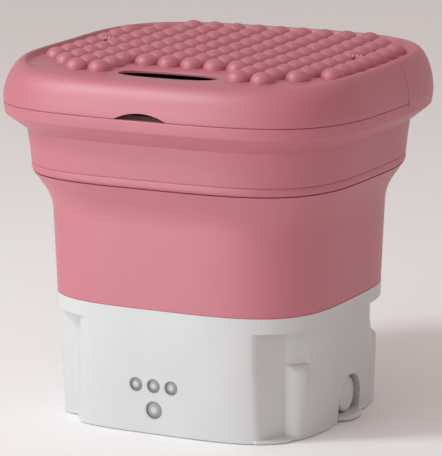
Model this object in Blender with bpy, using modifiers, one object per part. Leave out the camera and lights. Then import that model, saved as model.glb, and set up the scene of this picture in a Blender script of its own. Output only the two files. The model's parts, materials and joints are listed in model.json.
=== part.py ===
"""Portable mini washer with a folding tub: every sub-part as a closed solid, in metres, +Z up.

The origin is on the floor under the middle of the tub. +X is the side with the drain, -Y is the
front with the buttons. The tub is shown unfolded with its flap closed.
"""
import math

import bmesh
import bpy
from mathutils import Matrix, Vector

# ---- driving dimensions (metres) ----
GAP = 0.0004                 # air between two pieces that touch
WALL = 0.0025                # moulded wall thickness
RING_POINTS = 48             # corners of a rounded-square section
CORNER_POWER = 3.6           # 2 is an ellipse, larger is squarer
BASE_POWER = 3.9

BASE_BOTTOM_Z = 0.0004
BASE_TOP_Z = 0.0977
BASE_BOTTOM_HALF = (0.1076, 0.1035)
BASE_TOP_HALF = (0.1143, 0.1065)
NOTCH_TOP_Z = 0.0855
NOTCH_LIP_Z = 0.0024               # the right-hand notches stand on a thin lip
RIGHT_NOTCH = ((0.0775, 0.1000), (0.0905, 0.0725))    # plan of a notch, front face to inner corner
LEFT_NOTCH = ((0.0600, 0.1047), (0.0700, 0.0990), (0.0740, 0.0940), (0.0840, 0.0800), (0.0920, 0.0790))
RIB_CENTRE = (0.0935, 0.0600)      # the side wall ends at the notch in a round rib
RIB_RADIUS = 0.0125
RIB_TOP_Z = 0.0580
BLEND_POINTS = ((0.0980, 0.0600), (0.1060, 0.0460), (0.1115, 0.0320))
FAR_OUT = 0.1300

WALL_BOTTOM_Z = 0.0981
WALL_KNEE_Z = 0.1735
WALL_TOP_Z = 0.1928
WALL_BOTTOM_HALF = (0.1142, 0.1064)
WALL_KNEE_HALF = (0.1170, 0.1088)
WALL_TOP_HALF = (0.1298, 0.1210)
SOFT_WALL = 0.0022

BEAD_BOTTOM_Z = 0.1932
BEAD_TOP_Z = 0.1997
COLLAR_BOTTOM_Z = 0.2002
COLLAR_TOP_Z = 0.2264
COLLAR_BOTTOM_HALF = (0.1310, 0.1220)
COLLAR_TOP_HALF = (0.1340, 0.1248)

LID_HALF = (0.1500, 0.1400)
RIM_LOW_Z = 0.2390
RIM_CREASE_Z = 0.2268
RIM_TOP_Z = 0.2477
RIM_CREASE_HALF = (0.1342, 0.1250)
SEAM_Z = 0.2481
SHOULDER_INSET = (0.0125, 0.0180)
RECESS_INSET = (0.0161, 0.0216)
RIDGE_RISE = 0.0035          # the crease stands higher beside and behind the bumps
RIDGE_START_Y = -0.1150
RIDGE_RUN = 0.0600
RECESS_DEPTH = 0.0010
SPLIT_Y = 0.0195             # the flap ends and the rear deck starts here
SPLIT_GAP = 0.00025
SPLIT_TOP_Z = 0.2770         # crease height at the split
FLAP_SLOPE = 0.0113
DECK_SLOPE = 0.0350
SHOULDER_STEPS = 5

BUMP_PITCH = 0.0195
BUMP_RADIUS = 0.0092
BUMP_HEIGHT = 0.0078
BUMP_SIDES = 8
SLOT_CENTRE_Y = -0.0880
SLOT_HALF = (0.0410, 0.0140)
NOTCH_HALF_WIDTH = 0.0220
NOTCH_HEIGHT = 0.0055

HINGE_RISE = 0.0048          # hinge axis above the panel, and above the ridge beside it
HINGE_X = 0.10725
KNUCKLE_RADIUS = 0.0026
PIN_RADIUS = 0.0010
FLAP_KNUCKLE_LENGTH = 0.0030
DECK_KNUCKLE_LENGTH = 0.0024

FLOOR_TOP_Z = 0.0860
FLOOR_WALL = 0.0024
PULSATOR_RADIUS = 0.0620
SHAFT_RADIUS = 0.0040
PULLEY_Z = (0.0400, 0.0460)
DRIVEN_GROOVE_RADIUS = 0.0360
MOTOR_GROOVE_RADIUS = 0.0072
MOTOR_AT = (-0.0450, 0.0450)
MOTOR_RADIUS = 0.0180
BELT_WIDTH = 0.0018

BUTTON_X = -0.0050
BUTTON_Z = 0.0380
BUTTON_SPACING = 0.0150
START_BUTTON_Z = 0.0190
BUTTON_RADIUS = 0.0042
START_BUTTON_RADIUS = 0.0056
BUTTON_FACE_Y = -0.1052
START_BUTTON_FACE_Y = -0.1046
BUTTON_BACK_Y = -0.0960
BOARD_Y = (-0.0920, -0.0904)

ARCH_Y = 0.0060
ARCH_HALF_WIDTH = 0.0200
ARCH_TOP_Z = 0.0355
ARCH_BACK_X = 0.0880
SILL_REACH = 0.0275
SILL_HALF_WIDTH = 0.0205
SILL_Y = 0.0080
SILL_TOP_Z = 0.0042
DRAIN_Z = 0.0190
DRAIN_DROP_X = 0.0760        # where the floor's drain hole is
PLATE_Z = (0.0050, 0.0075)
PLATE_HALF = (0.0938, 0.0932)
FOOT_AT = (0.0680, 0.0700)
SCREW_AT = (0.0480, 0.0810)

PINK = (0.72, 0.36, 0.41)
WHITE = (0.74, 0.74, 0.73)
GREY = (0.30, 0.30, 0.30)
BLACK = (0.02, 0.02, 0.02)
STEEL = (0.55, 0.56, 0.58)
GREEN = (0.03, 0.16, 0.07)

COLLECTION = "portable_mini_washer"
CUTTERS = "cutters"


def clear_scene():
    for item in list(bpy.data.objects):
        bpy.data.objects.remove(item, do_unlink=True)


def collection(name):
    found = bpy.data.collections.get(name)
    if found is None:
        found = bpy.data.collections.new(name)
        bpy.context.scene.collection.children.link(found)
    return found


def material(name, colour, roughness, metallic=0.0):
    made = bpy.data.materials.get(name)
    if made is None:
        made = bpy.data.materials.new(name)
        made.use_nodes = True
        shader = made.node_tree.nodes["Principled BSDF"]
        shader.inputs["Base Color"].default_value = (*colour, 1.0)
        shader.inputs["Roughness"].default_value = roughness
        shader.inputs["Metallic"].default_value = metallic
    return made


def add_object(name, mesh, finish=None, location=(0.0, 0.0, 0.0)):
    """Link a mesh as a part when it has a finish, and as a cutter when it has none."""
    made = bpy.data.objects.new(name, mesh)
    made.location = location
    if finish is None:
        collection(CUTTERS).objects.link(made)
        made.hide_render = True
        made.display_type = "WIRE"
    else:
        collection(COLLECTION).objects.link(made)
        mesh.materials.append(material(*finish))
        mesh.shade_smooth()
        mesh.set_sharp_from_angle(angle=math.radians(35))
    return made


def finish_mesh(name, build):
    """Run a function that fills a bmesh, and turn the result into a closed mesh."""
    made = bmesh.new()
    build(made)
    bmesh.ops.recalc_face_normals(made, faces=made.faces)
    mesh = bpy.data.meshes.new(name)
    made.to_mesh(mesh)
    made.free()
    return mesh


def combine(target, tool, operation):
    step = target.modifiers.new(tool.name, "BOOLEAN")
    step.operation = operation
    step.solver = "EXACT"
    step.object = tool


def ridge_share(y):
    """How much of the ridge's rise a point has: none at the front, all of it from the middle on."""
    part = min(1.0, max(0.0, (y - RIDGE_START_Y) / RIDGE_RUN))
    return part * part * (3.0 - 2.0 * part)


def rounded_square(half, z, power=CORNER_POWER, slope=0.0, middle_y=0.0, ridge=0.0):
    """Points of a rounded-square section; slope tilts it about the line y = middle_y."""
    points = []
    for index in range(RING_POINTS):
        angle = 2.0 * math.pi * index / RING_POINTS
        side, front = math.cos(angle), math.sin(angle)
        x = half[0] * math.copysign(abs(side) ** (2.0 / power), side)
        y = half[1] * math.copysign(abs(front) ** (2.0 / power), front)
        points.append(Vector((x, y, z + slope * (y - middle_y) + ridge * ridge_share(y))))
    return points


def inset(half, amount):
    """Smaller half sizes; the amount is one number, or one for each side."""
    x, y = amount if isinstance(amount, tuple) else (amount, amount)
    return (half[0] - x, half[1] - y)


def between(low, high, part):
    return tuple(a + (b - a) * part for a, b in zip(low, high))


def loft(name, rings, closed):
    """Skin a list of rings: closed joins the last ring to the first, otherwise both ends are capped."""
    def build(made):
        rows = [[made.verts.new(point) for point in ring] for ring in rings]
        pairs = list(zip(rows, rows[1:]))
        if closed:
            pairs.append((rows[-1], rows[0]))
        for low, high in pairs:
            count = len(low)
            for index in range(count):
                following = (index + 1) % count
                made.faces.new((low[index], low[following], high[following], high[index]))
        if not closed:
            made.faces.new(rows[0])
            made.faces.new(rows[-1])
    return finish_mesh(name, build)


def box_mesh(name, low, high):
    size = [b - a for a, b in zip(low, high)]
    middle = [(a + b) / 2.0 for a, b in zip(low, high)]
    shape = Matrix.Translation(middle) @ Matrix.Diagonal((*size, 1.0))

    def build(made):
        bmesh.ops.create_cube(made, size=1.0, matrix=shape)
    return finish_mesh(name, build)


def cylinder_mesh(name, radius, start, end, sides=32, end_radius=None):
    """A closed cylinder or cone between two points."""
    start, end = Vector(start), Vector(end)
    along = end - start
    turn = Vector((0.0, 0.0, 1.0)).rotation_difference(along).to_matrix().to_4x4()
    shape = Matrix.Translation((start + end) / 2.0) @ turn
    top = radius if end_radius is None else end_radius

    def build(made):
        bmesh.ops.create_cone(made, cap_ends=True, segments=sides, radius1=radius, radius2=top,
                              depth=along.length, matrix=shape)
    return finish_mesh(name, build)


def turned(name, profile, finish, location=(0.0, 0.0, 0.0), turn=(0.0, 0.0, 0.0), sides=24):
    """A turned solid: profile points (radius, height) run down the outer side, top to bottom."""
    mesh = bpy.data.meshes.new(name)
    count = len(profile)
    closed = profile[0][0] > 0.0
    edges = [(index, index + 1) for index in range(count - 1)]
    if closed:
        edges.append((count - 1, 0))
    mesh.from_pydata([(radius, 0.0, height) for radius, height in profile], edges, [])
    made = add_object(name, mesh, finish, location)
    made.rotation_euler = turn
    screw = made.modifiers.new("turn", "SCREW")
    screw.steps = sides
    screw.render_steps = sides
    screw.use_merge_vertices = True
    screw.merge_threshold = 0.00001
    return made


PINK_PLASTIC = ("pink_plastic", PINK, 0.35)
SOFT_PINK = ("soft_pink", PINK, 0.50)
WHITE_PLASTIC = ("white_plastic", WHITE, 0.35)
GREY_PLASTIC = ("grey_plastic", GREY, 0.45)
BLACK_PLASTIC = ("black_plastic", BLACK, 0.45)
RUBBER = ("black_rubber", BLACK, 0.80)
METAL = ("steel", STEEL, 0.30, 1.0)
BOARD = ("circuit_board", GREEN, 0.50)


# ---- base ----
def base_loft(name, low_z, high_z, thickness):
    rings = []
    for z in (low_z, high_z):
        part = (z - BASE_BOTTOM_Z) / (BASE_TOP_Z - BASE_BOTTOM_Z)
        half = inset(between(BASE_BOTTOM_HALF, BASE_TOP_HALF, part), thickness)
        rings.append(rounded_square(half, z, BASE_POWER))
    return loft(name, rings, closed=False)


def notch_outline(side, with_rib):
    """Plan of what a corner notch takes away, for the corner at +x, +y, drawn from the front face."""
    wall = RIGHT_NOTCH if side > 0 else LEFT_NOTCH
    points = [(wall[0][0], FAR_OUT), *wall]
    if with_rib:
        first = 90.0 if side > 0 else 60.0
        for index in range(7):
            angle = math.radians(first + (25.0 - first) * index / 6)
            x = RIB_CENTRE[0] + RIB_RADIUS * math.cos(angle)
            points.append((x, RIB_CENTRE[1] + RIB_RADIUS * math.sin(angle)))
    else:
        points += BLEND_POINTS
    points.append((FAR_OUT, points[-1][1]))
    points.append((FAR_OUT, FAR_OUT))
    return points


def cut_notch(body, side, end, with_rib, low_z, high_z, thickness):
    """Take one level of a corner notch out of the body, moved inwards by a thickness."""
    rings = []
    for z in (low_z, high_z):
        ring = [(side * (x - thickness), end * (y - thickness)) for x, y in notch_outline(side, with_rib)]
        rings.append([Vector((x, y, z)) for x, y in ring])
    label = f"{body.name}_notch_{side}_{end}_{with_rib}"
    combine(body, add_object(label, loft(label, rings, closed=False)), "DIFFERENCE")


def base_body(name, low_z, high_z, thickness, finish=None):
    """The base's outer form with its corner notches, shrunk all round by a thickness."""
    body = add_object(name, base_loft(name, low_z, high_z, thickness), finish)
    for side in (-1, 1):
        for end in (-1, 1):
            lip = side > 0 and thickness == 0.0
            start = NOTCH_LIP_Z if lip else low_z - 0.01
            top_z = NOTCH_TOP_Z + thickness
            if side < 0:
                cut_notch(body, side, end, True, start, top_z, thickness)
                continue
            rib_top_z = RIB_TOP_Z - thickness
            cut_notch(body, side, end, True, start, rib_top_z + 0.0001, thickness)
            cut_notch(body, side, end, False, rib_top_z, top_z, thickness)
    return body


def arch_outline(grow):
    """Corners of the drain arch in the y-z plane, grown outwards by an amount."""
    radius = ARCH_HALF_WIDTH + grow
    centre_z = ARCH_TOP_Z - ARCH_HALF_WIDTH
    points = [(ARCH_Y - radius, -0.01), (ARCH_Y + radius, -0.01)]
    for index in range(13):
        angle = math.pi * index / 12
        points.append((ARCH_Y + radius * math.cos(angle), centre_z + radius * math.sin(angle)))
    return points


def arch_mesh(name, grow, from_x, to_x):
    outline = arch_outline(grow)
    rings = [[Vector((x, y, z)) for y, z in outline] for x in (from_x, to_x)]
    return loft(name, rings, closed=False)


def base_housing():
    housing = base_body("base_housing", BASE_BOTTOM_Z, BASE_TOP_Z, 0.0, WHITE_PLASTIC)
    cavity = base_body("base_cavity", BASE_BOTTOM_Z - 0.01, BASE_TOP_Z + 0.01, WALL)
    pocket_wall = add_object("pocket_wall", arch_mesh("pocket_wall", WALL, ARCH_BACK_X - WALL, 0.13))
    combine(cavity, pocket_wall, "DIFFERENCE")
    combine(housing, cavity, "DIFFERENCE")
    pocket = add_object("drain_pocket", arch_mesh("drain_pocket", 0.0, ARCH_BACK_X, 0.14))
    combine(housing, pocket, "DIFFERENCE")
    for label, x, z, radius in button_places():
        hole = cylinder_mesh("hole", radius + 0.0016, (x, -0.12, z), (x, -0.094, z))
        combine(housing, add_object(f"{label}_hole", hole), "DIFFERENCE")
    hole = cylinder_mesh("hole", 0.0044, (0.030, 0.09, 0.030), (0.030, 0.12, 0.030))
    combine(housing, add_object("inlet_hole", hole), "DIFFERENCE")
    hole = cylinder_mesh("hole", 0.0079, (0.07, ARCH_Y, DRAIN_Z), (0.10, ARCH_Y, DRAIN_Z))
    combine(housing, add_object("outlet_hole", hole), "DIFFERENCE")
    combine(housing, drain_sill(), "UNION")


def drain_sill():
    """The drip lip under the arch: half a rounded disc that grows out of the pocket's back."""
    outline = []
    for index in range(17):
        angle = -math.pi / 2 + math.pi * index / 16
        reach = SILL_REACH * math.cos(angle)
        outline.append((ARCH_BACK_X - 0.0010 + reach, SILL_Y + SILL_HALF_WIDTH * math.sin(angle)))
    rings = [[Vector((x, y, z)) for x, y in outline] for z in (BASE_BOTTOM_Z, SILL_TOP_Z)]
    return add_object("drain_sill", loft("drain_sill", rings, closed=False))


def bottom_plate():
    rings = [rounded_square(PLATE_HALF, z, BASE_POWER) for z in PLATE_Z]
    plate = add_object("base_bottom_plate", loft("base_bottom_plate", rings, closed=False), WHITE_PLASTIC)
    low = (ARCH_BACK_X - WALL - GAP, ARCH_Y - ARCH_HALF_WIDTH - WALL - GAP, 0.0)
    high = (0.12, ARCH_Y + ARCH_HALF_WIDTH + WALL + GAP, 0.02)
    combine(plate, add_object("plate_notch", box_mesh("plate_notch", low, high)), "DIFFERENCE")
    for side in (-1, 1):
        for end in (-1, 1):
            x, y = side * SCREW_AT[0], end * SCREW_AT[1]
            label = f"{'left' if side < 0 else 'right'}_{'front' if end < 0 else 'rear'}"
            hole = cylinder_mesh("hole", 0.0019, (x, y, 0.0), (x, y, 0.02), sides=16)
            combine(plate, add_object(f"{label}_screw_hole", hole), "DIFFERENCE")
            screw = [(0.0, 0.0165), (0.0015, 0.0165), (0.0015, PLATE_Z[0] - GAP),
                     (0.0034, PLATE_Z[0] - GAP), (0.0034, 0.0032), (0.0, 0.0032)]
            turned(f"plate_screw_{label}", screw, METAL, (x, y, 0.0), sides=12)
            x, y = side * FOOT_AT[0], end * FOOT_AT[1]
            foot = [(0.0, PLATE_Z[0] - GAP), (0.0085, PLATE_Z[0] - GAP), (0.0080, 0.0), (0.0, 0.0)]
            turned(f"rubber_foot_{label}", foot, RUBBER, (x, y, 0.0), sides=16)


def button_places():
    """Label, x, z and radius of each push button."""
    places = [(f"button_{index + 1}", BUTTON_X + (index - 1) * BUTTON_SPACING, BUTTON_Z, BUTTON_RADIUS)
              for index in range(3)]
    places.append(("start_button", BUTTON_X, START_BUTTON_Z, START_BUTTON_RADIUS))
    return places


def buttons():
    quarter = (math.pi / 2, 0.0, 0.0)
    for label, x, z, radius in button_places():
        face = START_BUTTON_FACE_Y if label == "start_button" else BUTTON_FACE_Y
        depth = BUTTON_BACK_Y - face
        cap = [(0.0, depth), (radius - 0.0008, depth), (radius, depth - 0.0006), (radius, 0.0012),
               (0.0018, 0.0012), (0.0018, 0.0), (0.0, 0.0)]
        turned(f"{label}_cap", cap, GREY_PLASTIC, (x, BUTTON_BACK_Y, z), quarter, sides=16)
        inner, outer = radius + 0.0003, radius + 0.0013
        ring = [(outer, depth - 0.0004), (outer, depth - 0.0034), (inner, depth - 0.0034),
                (inner, depth - 0.0004)]
        turned(f"{label}_ring", ring, GREY_PLASTIC, (x, BUTTON_BACK_Y, z), quarter, sides=16)
        low = (x - 0.003, BUTTON_BACK_Y + 0.0014, z - 0.003)
        high = (x + 0.003, BOARD_Y[0] - GAP, z + 0.003)
        add_object(f"{label}_switch", box_mesh("switch", low, high), BLACK_PLASTIC)


def control_board():
    mesh = box_mesh("control_board", (-0.040, BOARD_Y[0], 0.010), (0.040, BOARD_Y[1], 0.058))
    add_object("control_board", mesh, BOARD)


def power_inlet():
    flange = [(0.0070, 0.0035), (0.0070, 0.0020), (0.0041, 0.0020), (0.0041, -0.0140),
              (0.0032, -0.0140), (0.0032, 0.0035)]
    turned("power_inlet", flange, BLACK_PLASTIC, (0.030, 0.1026, 0.030), (-math.pi / 2, 0.0, 0.0), sides=24)


# ---- wash floor, pulsator and drive ----
def tub_floor():
    low_top = FLOOR_TOP_Z + 0.005
    rim, bend = (0.1114, 0.1036), (0.0980, 0.0910)
    well, bore = (0.0665, 0.0665), (0.0065, 0.0065)
    tops = [(rim, BASE_TOP_Z - 0.0003, BASE_POWER), (bend, low_top, BASE_POWER),
            (well, FLOOR_TOP_Z, 2.0), (bore, FLOOR_TOP_Z, 2.0)]
    upper = [rounded_square(half, z, power) for half, z, power in tops]
    lower = [rounded_square(half, z - FLOOR_WALL, power) for half, z, power in reversed(tops)]
    floor = add_object("tub_floor", loft("tub_floor", upper + lower, closed=True), WHITE_PLASTIC)
    hole = cylinder_mesh("hole", 0.0068, (DRAIN_DROP_X, ARCH_Y, 0.07), (DRAIN_DROP_X, ARCH_Y, 0.10), 24)
    combine(floor, add_object("floor_drain_hole", hole), "DIFFERENCE")


def pulsator():
    low = FLOOR_TOP_Z + 0.0015
    disc = [(0.0140, low + 0.0105), (0.0300, low + 0.0060), (PULSATOR_RADIUS - 0.003, low + 0.0042),
            (PULSATOR_RADIUS, low + 0.0020), (PULSATOR_RADIUS, low), (SHAFT_RADIUS + 0.0003, low),
            (SHAFT_RADIUS + 0.0003, low + 0.0105)]
    body = turned("pulsator_disc", disc, WHITE_PLASTIC, sides=40)
    for index in range(3):
        angle = 2.0 * math.pi * index / 3.0
        low_corner, high_corner = (0.0120, -0.0030, low + 0.0030), (0.0560, 0.0030, low + 0.0150)
        vane = add_object(f"vane_{index}", box_mesh("vane", low_corner, high_corner))
        vane.rotation_euler = (0.0, 0.0, angle)
        combine(body, vane, "UNION")
    shaft = [(0.0, low + 0.0100), (SHAFT_RADIUS, low + 0.0100), (SHAFT_RADIUS, 0.0370), (0.0, 0.0370)]
    turned("pulsator_shaft", shaft, METAL, sides=20)
    screw_low = low + 0.0109
    screw = [(0.0, screw_low + 0.0040), (0.0050, screw_low + 0.0034), (0.0075, screw_low + 0.0012),
             (0.0080, screw_low), (0.0, screw_low)]
    turned("pulsator_screw", screw, GREY_PLASTIC, sides=24)
    grooved_pulley("driven_pulley", DRIVEN_GROOVE_RADIUS, 0.0100, SHAFT_RADIUS + 0.0003, (0.0, 0.0), 40)


def grooved_pulley(name, groove, hub, bore, place, sides):
    low, high = PULLEY_Z
    flange = groove + 0.0016
    profile = [(bore, high + 0.0020), (hub, high + 0.0020), (hub, high), (flange, high),
               (flange, high - 0.0010), (groove, high - 0.0018), (groove, low + 0.0018),
               (flange, low + 0.0010), (flange, low), (bore, low)]
    if hub >= flange:
        profile = profile[:1] + [(flange, high + 0.0020)] + profile[4:]
    return turned(name, profile, GREY_PLASTIC, (*place, 0.0), sides=sides)


def bearings():
    housing = [(0.0240, 0.0832), (0.0240, 0.0806), (0.0140, 0.0806), (0.0140, 0.0500),
               (0.0080, 0.0500), (0.0080, 0.0520), (0.0114, 0.0520), (0.0114, 0.0832)]
    turned("bearing_housing", housing, GREY_PLASTIC)
    for label, low in (("lower_bearing", 0.0524), ("upper_bearing", 0.0730)):
        ring = [(0.0110, low + 0.0070), (0.0110, low), (SHAFT_RADIUS + 0.0003, low),
                (SHAFT_RADIUS + 0.0003, low + 0.0070)]
        turned(label, ring, METAL, sides=24)
    low = FLOOR_TOP_Z - FLOOR_WALL
    seal = [(0.0062, FLOOR_TOP_Z + 0.0008), (0.0062, low), (SHAFT_RADIUS + 0.0003, low),
            (SHAFT_RADIUS + 0.0003, FLOOR_TOP_Z + 0.0008)]
    turned("shaft_seal", seal, RUBBER, sides=24)


def motor():
    top, floor = 0.0360, 0.0080
    can = [(0.0026, top), (MOTOR_RADIUS - 0.0010, top), (MOTOR_RADIUS, top - 0.0010),
           (MOTOR_RADIUS, floor), (0.0026, floor), (0.0026, floor + 0.0015),
           (MOTOR_RADIUS - 0.0015, floor + 0.0015), (MOTOR_RADIUS - 0.0015, top - 0.0015),
           (0.0026, top - 0.0015)]
    turned("motor_housing", can, METAL, (*MOTOR_AT, 0.0), sides=28)
    x, y = MOTOR_AT
    low, high = (x - 0.030, y - 0.012, top + GAP), (x + 0.030, y + 0.012, top + 0.0022)
    bracket = add_object("motor_bracket", box_mesh("bracket", low, high), METAL)
    for side in (-1, 1):
        middle = x + side * 0.0265
        low, high = (middle - 0.003, y - 0.010, PLATE_Z[1] + GAP), (middle + 0.003, y + 0.010, top + 0.001)
        leg = add_object(f"bracket_leg_{side}", box_mesh("leg", low, high))
        combine(bracket, leg, "UNION")
    hole = cylinder_mesh("hole", 0.0060, (x, y, 0.03), (x, y, 0.05), sides=24)
    combine(bracket, add_object("bracket_hole", hole), "DIFFERENCE")
    armature = [(0.0, 0.0490), (0.0020, 0.0490), (0.0020, 0.0320), (0.0140, 0.0320), (0.0140, 0.0125),
                (0.0020, 0.0125), (0.0020, floor + 0.0002), (0.0, floor + 0.0002)]
    turned("motor_armature", armature, METAL, (*MOTOR_AT, 0.0), sides=20)
    grooved_pulley("motor_pulley", MOTOR_GROOVE_RADIUS, 0.0060, 0.0023, MOTOR_AT, 20)


def belt_loop(offset, z):
    """The belt's outline round both pulleys, at a distance outside the grooves."""
    centre = Vector(MOTOR_AT)
    distance = centre.length
    heading = math.atan2(centre.y, centre.x)
    large, small = DRIVEN_GROOVE_RADIUS + offset, MOTOR_GROOVE_RADIUS + offset
    lean = math.acos((large - small) / distance)
    points = []
    steps = 24
    for index in range(steps + 1):
        angle = heading + lean + (2.0 * math.pi - 2.0 * lean) * index / steps
        points.append(Vector((large * math.cos(angle), large * math.sin(angle), z)))
    for index in range(9):
        angle = heading - lean + 2.0 * lean * index / 8
        points.append(Vector((centre.x + small * math.cos(angle), centre.y + small * math.sin(angle), z)))
    return points


def drive_belt():
    low, high = PULLEY_Z[0] + 0.0021, PULLEY_Z[1] - 0.0021
    near, far = GAP + 0.0001, GAP + BELT_WIDTH
    rings = [belt_loop(far, high), belt_loop(far, low), belt_loop(near, low), belt_loop(near, high)]
    add_object("drive_belt", loft("drive_belt", rings, closed=True), RUBBER)


# ---- drain ----
def drain_elbow():
    """Outlet pipe from the hole in the tub floor down and out into the arched pocket."""
    x, top = DRAIN_DROP_X, FLOOR_TOP_Z
    outlet_x = 0.1000
    start, end = (x - 0.0070, ARCH_Y, DRAIN_Z), (outlet_x, ARCH_Y, DRAIN_Z)
    shell = cylinder_mesh("drain_outlet", 0.0075, start, end, 24)
    pipe = add_object("drain_outlet", shell, WHITE_PLASTIC)
    drop = cylinder_mesh("drop", 0.0063, (x, ARCH_Y, DRAIN_Z), (x, ARCH_Y, top), 24)
    combine(pipe, add_object("drain_drop", drop), "UNION")
    bore = cylinder_mesh("bore", 0.0046, (x, ARCH_Y, DRAIN_Z), (x, ARCH_Y, top + 0.01), 20)
    combine(pipe, add_object("drain_drop_bore", bore), "DIFFERENCE")
    bore = cylinder_mesh("bore", 0.0060, (x - 0.0052, ARCH_Y, DRAIN_Z), (0.11, ARCH_Y, DRAIN_Z), 24)
    combine(pipe, add_object("drain_bore", bore), "DIFFERENCE")


def drain_parts():
    """The outlet pipe, its gasket behind the pocket and the pull-out cap, both along X."""
    along = (0.0, math.pi / 2, 0.0)
    place = (0.0, ARCH_Y, DRAIN_Z)
    drain_elbow()
    gasket_x = (ARCH_BACK_X + GAP, ARCH_BACK_X + 0.0024)
    gasket = [(0.0105, gasket_x[1]), (0.0105, gasket_x[0]), (0.0080, gasket_x[0]), (0.0080, gasket_x[1])]
    turned("drain_gasket", gasket, RUBBER, place, along, sides=24)
    cap = [(0.0, 0.1065), (0.0125, 0.1065), (0.0140, 0.1050), (0.0140, 0.0910), (0.0082, 0.0910),
           (0.0082, 0.1010), (0.0055, 0.1010), (0.0055, 0.0930), (0.0, 0.0930)]
    turned("drain_cap", cap, WHITE_PLASTIC, place, along, sides=28)


# ---- folding tub ----
def folding_wall():
    outer = [(WALL_BOTTOM_HALF, WALL_BOTTOM_Z), (WALL_KNEE_HALF, WALL_KNEE_Z), (WALL_TOP_HALF, WALL_TOP_Z)]
    rings = [rounded_square(half, z) for half, z in outer]
    rings += [rounded_square(inset(half, SOFT_WALL), z) for half, z in reversed(outer)]
    add_object("folding_wall", loft("folding_wall", rings, closed=True), SOFT_PINK)


def straight_ring(name, low, high, thickness, finish):
    """A plain ring between two sections, each given as (half sizes, z)."""
    rings = [rounded_square(*low), rounded_square(*high)]
    rings += [rounded_square(inset(half, thickness), z) for half, z in (high, low)]
    return add_object(name, loft(name, rings, closed=True), finish)


def upper_tier():
    bead_half = inset(COLLAR_BOTTOM_HALF, 0.0)
    outer = [(inset(bead_half, 0.0014), BEAD_BOTTOM_Z), (bead_half, BEAD_BOTTOM_Z + 0.0018),
             (bead_half, BEAD_TOP_Z)]
    rings = [rounded_square(half, z) for half, z in outer]
    rings += [rounded_square(inset(bead_half, 0.0034), z) for z in (BEAD_TOP_Z, BEAD_BOTTOM_Z)]
    add_object("bead_ring", loft("bead_ring", rings, closed=True), PINK_PLASTIC)
    straight_ring("upper_collar", (COLLAR_BOTTOM_HALF, COLLAR_BOTTOM_Z), (COLLAR_TOP_HALF, COLLAR_TOP_Z),
                  WALL, PINK_PLASTIC)


# ---- lid ----
def cover_rings(low_z, slope, thickness, low_half, ridge_rise=0.0):
    """Sections of one cover skin from its lower edge up to the crease."""
    crease_rise = SPLIT_TOP_Z - SEAM_Z
    rings = [rounded_square(low_half, low_z)]
    for index in range(1, SHOULDER_STEPS + 1):
        angle = math.pi / 2 * index / SHOULDER_STEPS
        step = tuple(side * (1.0 - math.cos(angle)) + thickness for side in SHOULDER_INSET)
        lift = math.sin(angle)
        z = SEAM_Z + crease_rise * lift - thickness * lift
        ridge = ridge_rise * lift ** 3
        rings.append(rounded_square(inset(LID_HALF, step), z, slope=slope * lift, middle_y=SPLIT_Y, ridge=ridge))
    return rings


def cover_shell(name, slope, low_z, finish):
    """A whole cover as a shell, open below; the panel inside the crease is a flat tilted face."""
    outer = cover_rings(low_z, slope, 0.0, inset(LID_HALF, 0.0003), RIDGE_RISE)
    inner = cover_rings(low_z, slope, WALL, inset(LID_HALF, WALL))
    panel_z = SPLIT_TOP_Z - RECESS_DEPTH
    panel_half = inset(LID_HALF, RECESS_INSET)
    outer.append(rounded_square(panel_half, panel_z, slope=slope, middle_y=SPLIT_Y))
    rings = list(reversed(outer)) + inner
    return add_object(name, loft(name, rings, closed=False), finish)


def has_bump(x, y):
    """The bumps fill the recessed panel except round the slot and along the front strip."""
    if y < 0.0:
        inside = abs(x / 0.121) ** 3 + abs(y / 0.108) ** 3 <= 1.0 and y > -0.100
        by_slot = abs(x) < SLOT_HALF[0] + 0.012 and abs(y - SLOT_CENTRE_Y) < SLOT_HALF[1] + 0.0105
        return inside and not by_slot
    return abs(x / 0.121) ** 6 + abs(y / 0.112) ** 6 <= 1.0


def bump_places(front):
    places = []
    for column in range(-6, 7):
        for row in range(-6, 6):
            x, y = column * BUMP_PITCH, (row + 0.5) * BUMP_PITCH
            if (y < SPLIT_Y) == front and has_bump(x, y):
                places.append((x, y))
    return places


def bump_field(name, front, slope):
    """One closed dome for each bump, sunk a little into the panel."""
    levels = [(1.0, -0.0010), (1.0, 0.0), (0.74, BUMP_HEIGHT * 0.67)]
    panel_z = SPLIT_TOP_Z - RECESS_DEPTH

    def build(made):
        for x, y in bump_places(front):
            floor_z = panel_z + slope * (y - SPLIT_Y)
            rows = []
            for share, height in levels:
                row = []
                for index in range(BUMP_SIDES):
                    angle = 2.0 * math.pi * (index + 0.5) / BUMP_SIDES
                    radius = BUMP_RADIUS * share
                    point = (x + radius * math.cos(angle), y + radius * math.sin(angle), floor_z + height)
                    row.append(made.verts.new(point))
                rows.append(row)
            apex = made.verts.new((x, y, floor_z + BUMP_HEIGHT))
            made.faces.new(rows[0])
            for low, high in zip(rows, rows[1:]):
                for index in range(BUMP_SIDES):
                    following = (index + 1) % BUMP_SIDES
                    made.faces.new((low[index], low[following], high[following], high[index]))
            for index in range(BUMP_SIDES):
                made.faces.new((rows[-1][index], rows[-1][(index + 1) % BUMP_SIDES], apex))
    return add_object(name, finish_mesh(name, build))


def hinge_z():
    return SPLIT_TOP_Z - RECESS_DEPTH + HINGE_RISE


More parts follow.
